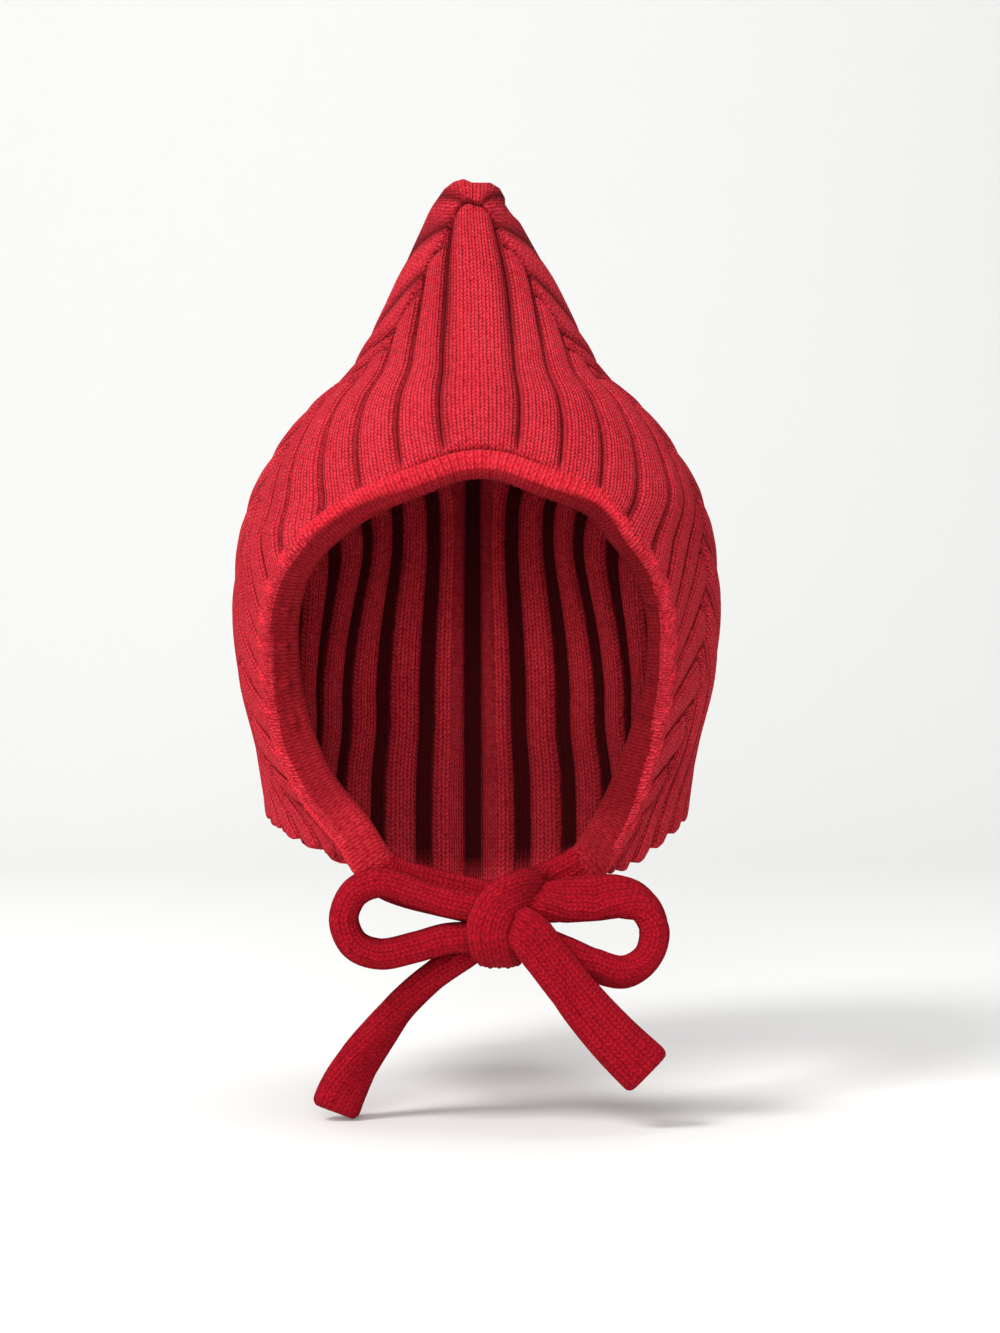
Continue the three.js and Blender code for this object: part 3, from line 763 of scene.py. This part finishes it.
def makeHood():
    ribs = np.arange(-hood["ribsPerSide"], hood["ribsPerSide"] + 1)

    def linesOf(side, middle):
        rows = []
        for rib in ribs:
            half = np.array(side if rib else middle)
            rows.append(np.concatenate([[rib - 0.5], rib - half[:0:-1], rib + half]))
        return np.append(np.concatenate(rows), ribs[-1] + 0.5)

    # the columns crowd at the grooves outside and at the gaps inside, and the middle rib has more
    outerLines = linesOf(
        (0, 0.125, 0.25, 0.36, 0.43, 0.468, 0.489),
        (0, 0.04, 0.08, 0.125, 0.17, 0.21, 0.25, 0.305, 0.36, 0.40, 0.43, 0.452, 0.468, 0.489))
    innerLines = linesOf(
        (0, 0.10, 0.145, 0.158, 0.185, 0.25, 0.36),
        (0, 0.05, 0.10, 0.125, 0.145, 0.158, 0.172, 0.185, 0.217, 0.25, 0.305, 0.36, 0.41, 0.455))
    rimRows = (0, 0.004, 0.010, 0.018, 0.028, 0.042)
    hemRows = (0.984, 0.990, 0.995, 0.998, 1)
    front = 1 - (1 - np.arange(hood["frontRows"]) / hood["frontRows"]) ** 1.45
    back = (np.arange(hood["backRows"]) / hood["backRows"]) ** 1.5
    t = np.concatenate([rimRows, 0.062 + 0.938 * front, 1 + hemRows[0] * back, 1 + np.array(hemRows)])
    mitreRow = len(rimRows) + hood["frontRows"]
    rows = len(t)
    verts = []
    attributes = {}
    maps = []
    for inside, lines in ((0, outerLines), (1, innerLines)):
        near = np.clip(np.round(lines), ribs[0], ribs[-1])
        across = lines - near
        grid, outwards = shellPoint(lines[:, None], t[None, :])
        length = np.sum(np.linalg.norm(np.diff(grid[:, mitreRow:], axis=1), axis=2), axis=1)
        shorter = 1 - (hood["scallop"] / 1000 * (2 * across) ** 2 / np.maximum(length, 0.02))[:, None]
        tHere = np.where(t[None, :] > 1, 1 + (t[None, :] - 1) * shorter, t[None, :])
        grid, outwards = shellPoint(lines[:, None], tHere)
        reach = np.concatenate([np.zeros((len(lines), 1)), np.cumsum(
            np.linalg.norm(np.diff(grid, axis=1), axis=2), axis=1)], axis=1)
        # the share of the way across a rib, from its groove nearer the middle rib
        outerShare = np.where(near == 0, 0.5, 0.5 + across * np.sign(near))
        drop = np.where(near == 0, 0, np.clip(1 - outerShare, 0, 1) ** 2.4) * hood["archDrop"] / 1000
        ease = 0.25 + 0.75 * smooth((13.5 - abs(lines)) / 2.2)
        shape = (len(lines), rows)
        roundness = np.where(tHere > 1, hood["backShoulder"],
                             readTable(shoulders[:, 0], shoulders[:, 1], grid[..., 2] * 1000))
        fromCrease = reach - (reach[:, mitreRow] - drop * ease)[:, None]
        quick = np.where((near == 0)[:, None] & (fromCrease > 0), hood["tipPace"], 1)
        z = grid[..., 2]
        behind = tHere > 1
        # the rim's colour gets painted shade under the band's edge at the brow, and a little painted
        # shade at the sides, more on the right
        rimShade = (0.8 * smooth((1.9 - abs(lines)) / 0.9)
                + (0.05 + 0.27 * smooth(lines / 3)) * smooth((abs(lines) - 2.6) / 1.4))
        values = {
            "outwards": outwards,
            "acrossRib": np.broadcast_to(across[:, None], shape),
            "fromCrease": fromCrease * quick,
            # soft folds are wide and round, sink takes depth from them behind the tip, and dim is
            # painted shade that darkens the inside towards the nape
            "soft": np.where(behind, 1 - 0.4 * smooth((-0.04 - z) / 0.03),
                             smooth((z - 0.004) / 0.02) + 0.8 * smooth((-0.045 - z) / 0.03)),
            "sink": 1 - 0.8 * smooth(z / 0.03) * behind,
            "dim": inside * 0.38 * smooth((-0.115 - z) / 0.075),
            "fromRim": reach,
            "fromHem": reach[:, -1:] - reach,
            "inside": np.full(shape, float(inside)),
            "rimShade": np.broadcast_to(rimShade[:, None], shape),
            "shoulder": roundness,
            "ease": np.broadcast_to(ease[:, None], shape),
            "creaseEase": np.broadcast_to(
                np.where(near == 0, 1, 1 - 0.45 * smooth(outerShare))[:, None], shape),
            # behind the tip the middle rib is wide, so it splits in three
            "offSplit": np.broadcast_to(abs(across * 3 - np.round(across * 3))[:, None], shape),
            "splitShare": smooth((z + 0.012) / 0.03) * behind * (near == 0)[:, None],
        }
        for name, value in values.items():
            attributes.setdefault(name, []).append(value.ravel())
        verts.append(wornShape(grid).reshape(-1, 3))
        maps.append((lines, grid, reach))
    columns = len(maps[0][0])
    total = columns * rows
    verts = np.vstack(verts)
    c = np.arange(columns - 1)[:, None]
    r = np.arange(rows - 1)[None, :]
    a = c * rows + r
    outer = np.stack([a, a + 1, a + rows + 1, a + rows], -1)
    inner = outer[..., ::-1] + total
    c = np.arange(columns - 1)
    rim = np.stack([c * rows, (c + 1) * rows, (c + 1) * rows + total, c * rows + total], -1)
    hem = np.stack([(c + 1) * rows + rows - 1, c * rows + rows - 1,
                    c * rows + rows - 1 + total, (c + 1) * rows + rows - 1 + total], -1)
    r = np.arange(rows - 1)
    left = np.stack([r + 1, r, r + total, r + 1 + total], -1)
    last = (columns - 1) * rows
    right = np.stack([last + r, last + r + 1, last + r + 1 + total, last + r + total], -1)
    faces = np.concatenate([outer.reshape(-1, 4), inner.reshape(-1, 4), rim, hem, left, right])
    piece = meshObject("hoodKnit", verts, faces, ribYarn)
    for name, values in attributes.items():
        kind = "FLOAT_VECTOR" if name == "outwards" else "FLOAT"
        giveAttribute(piece, name, np.concatenate(values), kind)

    # stitches keep square to the ribs: each rib counts its courses from its own middle line
    corners = []
    for (lines, grid, reach), flip in ((maps[0], False), (maps[1], True)):
        nearest = np.clip(np.round((lines[:-1] + lines[1:]) / 2), ribs[0], ribs[-1])
        middleOf = np.searchsorted(lines, nearest - 1e-6)

        def courses(part):
            places = grid[:, part]
            along = unit(np.gradient(places, axis=1))
            sides = []
            for side in (places[:-1], places[1:]):
                slide = np.sum((side - places[middleOf]) * along[middleOf], axis=2)
                sides.append((reach[middleOf][:, part] + slide) / yarn["courseHeight"])
            return np.stack(sides, -1)

        fore = courses(slice(0, mitreRow + 1))
        aft = courses(slice(mitreRow, rows))
        low = np.concatenate([fore[:, :-1], aft[:, :-1]], axis=1)
        high = np.concatenate([fore[:, 1:], aft[:, 1:]], axis=1)
        beyond = np.sign(lines) * (hood["centreWales"] - hood["walesPerRib"]) / 2
        wale = np.where(abs(lines) < 0.5, lines * hood["centreWales"],
                        lines * hood["walesPerRib"] + beyond)
        # where the middle rib is wide its wales keep their width, so there are more of them
        middle = abs(lines) <= 0.5
        ribWidth = np.sum(np.linalg.norm(np.diff(grid[middle], axis=0), axis=2), axis=0)
        widen = np.maximum(1, ribWidth / yarn["waleWidth"] / hood["centreWales"])
        widen = np.where(np.arange(rows) < mitreRow, 1, widen)[None, :-1]
        inMiddle = (abs(lines[:-1] + lines[1:]) < 1)[:, None]
        w0 = np.where(inMiddle, wale[:-1, None] * widen, wale[:-1, None])
        w1 = np.where(inMiddle, wale[1:, None] * widen, wale[1:, None])
        quad = np.stack([
            np.stack([w0, low[:, :, 0]], -1), np.stack([w0, high[:, :, 0]], -1),
            np.stack([w1, high[:, :, 1]], -1), np.stack([w1, low[:, :, 1]], -1)], 2)
        corners.append((quad[:, :, ::-1] if flip else quad).reshape(-1, 2))
    flat = verts[np.concatenate([rim, hem, left, right])]
    small = np.stack([flat[..., 0] / yarn["waleWidth"], flat[..., 2] / yarn["courseHeight"]], -1)
    corners.append(small.reshape(-1, 2))
    giveMap(piece, np.concatenate(corners))
    applyTree(piece, ribReliefTree(), {"Material": ribYarn})
    for name in attributes:
        piece.data.attributes.remove(piece.data.attributes[name])
    print("hood faces", len(piece.data.polygons))
    return piece


hoodKnit = makeHood()
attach(hoodKnit, "root")
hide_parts("hood_shell")


band = {
    "lastLine": 13.3,
    "thickness": 0.0070,
    "endThickness": 0.0102,
    "tuck": 0.0035,
    "intoTie": 0.006,
    "flatSamples": 10,
    "samplesPerWale": 6,
    "smoothings": 60,
    "endRound": 0.003,
    "relief": 0.00045,
    "sideRelief": 0.14,
    "foldShade": 0.16,
    "eyelet": 0.0024,
    "eyeletLength": 0.0020,
    "eyeletWidth": 0.0021,
    "eyeletPlace": 0.0002,
    "eyeletStart": 0.0052,
    "eyeletSpacing": 0.0160,
    "eyeletLines": (4.6, 10.4),
    "eyeletShade": 0.98,
    "edgeWidth": 0.0009,
    "browEdgeWidth": 0.0052,
}

# rib line, how far the band leans in (degrees), its width, and how far it stands past the hood's
# edge (both in millimetres)
bandShape = np.array([
    (-13.5, 42, 17.5, -3.5), (-12.5, 50, 17.5, -3.5), (-11, 75, 18, -3.5), (-9, 97, 19.5, -3.5),
    (-6, 100, 20, -3.5), (-4, 92, 17, -3.5), (-2.7, 80, 14.5, -2.6), (-1.3, 66, 13, 1.6),
    (0, 58, 12.2, 3.0), (1.3, 66, 13, 1.6), (2.7, 80, 13.5, -2.6), (4, 98, 13.5, -3.5),
    (6, 110, 15, -3.5), (9, 110, 15, -3.5), (11, 85, 16.5, -3.5), (12.5, 52, 17.5, -3.5),
    (13.5, 42, 17.5, -3.5)], float)


def bandReliefTree():
    tree, graph, wires = startTree("bandRelief", {
        "Relief": band["relief"], "Eyelet": band["eyelet"],
        "Fold Shade": band["foldShade"], "Eyelet Shade": band["eyeletShade"]})
    eyelet = graph.read("eyelet")
    bars = graph.read("bars")
    normal = graph.add("GeometryNodeInputNormal")
    fold = abs(graph.read("wale").fraction() - 0.5) * 2
    fold = fold * fold * fold
    lift = (0.4 - fold) * wires["Relief"] * bars - eyelet * wires["Eyelet"]
    moved = graph.moveBy(wires["Geometry"], normal, lift)
    shade = graph.read("turned").atLeast(eyelet * wires["Eyelet Shade"])
    shade = shade.atLeast(fold * bars * wires["Fold Shade"]).clamped()
    endTree(graph, graph.keepShade(moved, shade), wires["Material"])
    return tree


def makeBand():
    lines = np.linspace(-band["lastLine"], band["lastLine"], 3001)
    rim, outwards = shellPoint(lines, np.zeros_like(lines))
    rim = wornShape(rim)
    forward = unit(np.cross(np.gradient(rim, axis=0), outwards))
    lean, width, past = (readTable(bandShape[:, 0], bandShape[:, k], lines)[:, None] for k in (1, 2, 3))
    turn = np.radians(lean)
    over = forward * np.cos(turn) - outwards * np.sin(turn)
    width = width / 1000
    start = rim - outwards * band["tuck"] + forward * past / 1000
    middle = start + over * (width / 2 - band["thickness"] / 2)
    thick = np.full((len(lines), 1), band["thickness"])
    rows = np.hstack([middle, over, width, thick, lines[:, None]])

    # each end runs on into the start of its tie
    def tieEnd(line, side):
        along = unit(line[8] - line[0])
        steps = np.linspace(0, band["intoTie"], 12)[:, None]
        wide = np.array([-side * 0.43, 0, 0.9])
        wide = unit(wide - along * wide.dot(along))
        size = [tie["width"] * 0.99, band["endThickness"], side * 14.0]
        return np.hstack([line[0] + along * steps, np.tile(np.append(wide, size), (12, 1))])

    rows = np.vstack([tieEnd(leftFine, -1)[::-1], rows, tieEnd(rightFine, 1)])
    reach = np.concatenate([[0], np.cumsum(np.linalg.norm(np.diff(rows[:, :3], axis=0), axis=1))])
    wales = int(round(reach[-1] / yarn["waleWidth"]))
    rings = wales * band["samplesPerWale"] + 1
    even = np.linspace(0, reach[-1], rings)
    rows = np.column_stack([np.interp(even, reach, rows[:, k]) for k in range(rows.shape[1])])
    for _ in range(band["smoothings"]):
        rows[1:-1] = rows[1:-1] * 0.5 + (rows[:-2] + rows[2:]) * 0.25
    middle, over, width, thick, lines = rows[:, :3], rows[:, 3:6], rows[:, 6], rows[:, 7], rows[:, 8]
    tangent = unit(np.gradient(middle, axis=0))
    over = unit(over - tangent * np.sum(over * tangent, axis=1, keepdims=True))
    through = np.cross(over, tangent)

    # the section is a rounded bar: a place on its straight side, then a turn round its edge
    flat = np.linspace(-1, 1, band["flatSamples"])
    bend = np.radians(np.arange(20, 180, 20))
    straight = np.concatenate([flat, np.ones(len(bend)), flat[::-1], -np.ones(len(bend))])
    turnX = np.concatenate([0 * flat, np.sin(bend), 0 * flat, -np.sin(bend)])
    turnY = np.concatenate([np.ones(len(flat)), np.cos(bend), -np.ones(len(flat)), -np.cos(bend)])
    count = len(straight)
    fromEnd = np.minimum(even, reach[-1] - even)
    squeeze = np.sqrt(1 - np.clip(1 - fromEnd / band["endRound"], 0, 0.97) ** 2)
    radius = (thick / 2)[:, None]
    sideways = (straight * (width[:, None] / 2 - radius) + turnX * radius) * squeeze[:, None]
    ring = (middle[:, None] + over[:, None] * sideways[..., None]
            + through[:, None] * (turnY * radius * squeeze[:, None])[..., None])
    verts = np.vstack([ring.reshape(-1, 3), middle[:1], middle[-1:]])
    r = np.arange(rings - 1)[:, None]
    k = np.arange(count)[None, :]
    n = (k + 1) % count
    quads = np.stack([r * count + k, (r + 1) * count + k, (r + 1) * count + n, r * count + n], -1)
    faces = quads.reshape(-1, 4).tolist()
    first = len(verts) - 2
    faces += [[first, j, (j + 1) % count] for j in range(count)]
    last = (rings - 1) * count
    faces += [[first + 1, last + (j + 1) % count, last + j] for j in range(count)]
    piece = meshObject("faceBinding", verts, faces, bandYarn)

    # a row of eyelets down each side, on the face that is turned in
    wale = even / reach[-1] * wales
    beside = ((even - band["eyeletStart"]) / band["eyeletSpacing"]) % 1 - 0.5
    firstLine, lastLine = band["eyeletLines"]
    onSide = smooth((abs(lines) - firstLine) / 0.8) * smooth((lastLine - abs(lines)) / 0.8)
    along = np.exp(-(beside * band["eyeletSpacing"] / band["eyeletLength"]) ** 2) * onSide
    across = np.exp(-((sideways - band["eyeletPlace"]) / band["eyeletWidth"]) ** 2) * (turnY > 0.5)
    giveAttribute(piece, "wale", np.append(np.repeat(wale, count), [0, 0]))
    giveAttribute(piece, "eyelet", np.append((along[:, None] * across).ravel(), [0, 0]))
    bars = band["sideRelief"] + (1 - band["sideRelief"]) * smooth((3.4 - abs(lines)) / 1.6)
    giveAttribute(piece, "bars", np.append(np.repeat(bars, count), [0, 0]))

    # past its bright edge the band turns in, away from the light, and there its colour gets painted
    # shade
    browShare = smooth((3.6 - abs(lines)) / 2.4)[:, None]
    bright = band["edgeWidth"] + (band["browEdgeWidth"] - band["edgeWidth"]) * browShare
    inward = smooth((sideways + width[:, None] / 2 - bright) / 0.0028)
    # the painted shade is stronger on the right side and weaker near the band's lower ends
    sides = 0.66 + 0.14 * smooth(lines / 3) - 0.22 * smooth((abs(lines) - 11.5) / 1.8)
    giveAttribute(piece, "turned", np.append((inward * sides[:, None]).ravel(), [0, 0]))
    giveAttribute(piece, "shade", np.zeros(len(verts)))
    edgeWalk = np.concatenate([[0], np.cumsum(np.hypot(np.diff(sideways, axis=1), np.diff(
        turnY * radius, axis=1)), axis=1)[len(even) // 2]])
    edgeWalk = np.append(edgeWalk, edgeWalk[-1] + 0.001) / yarn["courseHeight"]
    v = np.stack([edgeWalk[:-1], edgeWalk[:-1], edgeWalk[1:], edgeWalk[1:]], -1)
    v = np.broadcast_to(v, quads.shape)
    u = np.stack([wale[:-1], wale[1:], wale[1:], wale[:-1]], -1)[:, None, :]
    corners = np.stack([np.broadcast_to(u, quads.shape), v], -1).reshape(-1, 2).tolist()
    corners += [(0, 0)] * (6 * count)
    giveMap(piece, corners)
    applyTree(piece, bandReliefTree(), {"Material": bandYarn})
    for name in ("wale", "eyelet", "bars", "turned"):
        piece.data.attributes.remove(piece.data.attributes[name])
    print("band faces", len(piece.data.polygons), "wales", wales)
    return piece


faceBinding = makeBand()
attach(faceBinding, "root")
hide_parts("face_band")


room = {
    "floorHeight": -0.3052,
    "frontAt": -2.4,
    "bendAt": 1.1,
    "bendRadius": 0.7,
    "wallHeight": 2.6,
    "halfWidth": 3.2,
    "paper": (0.83, 0.83, 0.815, 1),
    "air": (0.95, 0.97, 1.0, 1),
    "airStrength": 0.46,
}


def makeRoom():
    profile = [(room["frontAt"], 0)]
    radius = room["bendRadius"]
    for i in range(13):
        turn = math.radians(i * 7.5)
        profile.append((room["bendAt"] + radius * math.sin(turn), radius * (1 - math.cos(turn))))
    profile.append((room["bendAt"] + radius, room["wallHeight"]))
    verts = []
    for y, z in profile:
        verts += [(-room["halfWidth"], y, room["floorHeight"] + z),
                  (room["halfWidth"], y, room["floorHeight"] + z)]
    faces = [(2 * i, 2 * i + 1, 2 * i + 3, 2 * i + 2) for i in range(len(profile) - 1)]
    material = bpy.data.materials.new("palePaper")
    material.use_nodes = True
    shader = material.node_tree.nodes["Principled BSDF"]
    shader.inputs["Base Color"].default_value = room["paper"]
    shader.inputs["Roughness"].default_value = 0.8
    shader.inputs["Specular IOR Level"].default_value = 0.1
    paper = meshObject("paper", verts, faces, material)


# name, place, aim, size, watts, tint
lights = [
    ("keyLight", (-1.15, -1.05, 1.45), (0, 0, -0.10), 0.75, 34, (1.0, 0.99, 0.97)),
    ("frontLight", (-0.25, -2.1, 0.45), (0, 0, -0.12), 1.2, 27, (1.0, 1.0, 1.0)),
    ("topLight", (0.0, 0.5, 1.7), (0, 0, 0), 1.4, 12, (1.0, 1.0, 1.0)),
]


def makeLight(name, place, aim, size, power, tint):
    data = bpy.data.lights.new(name, "AREA")
    data.shape = "DISK"
    data.size = size
    data.energy = power
    data.color = tint
    holder = bpy.data.objects.new(name, data)
    bpy.context.scene.collection.objects.link(holder)
    holder.location = place
    holder.rotation_euler = (Vector(aim) - Vector(place)).to_track_quat("-Z", "Y").to_euler()


makeRoom()
for light in lights:
    makeLight(*light)
world = bpy.data.worlds.new("studio")
world.use_nodes = True
world.node_tree.nodes["Background"].inputs[0].default_value = room["air"]
world.node_tree.nodes["Background"].inputs[1].default_value = room["airStrength"]
bpy.context.scene.world = world
bpy.context.scene.view_settings.view_transform = "Standard"
print("floor and light set")
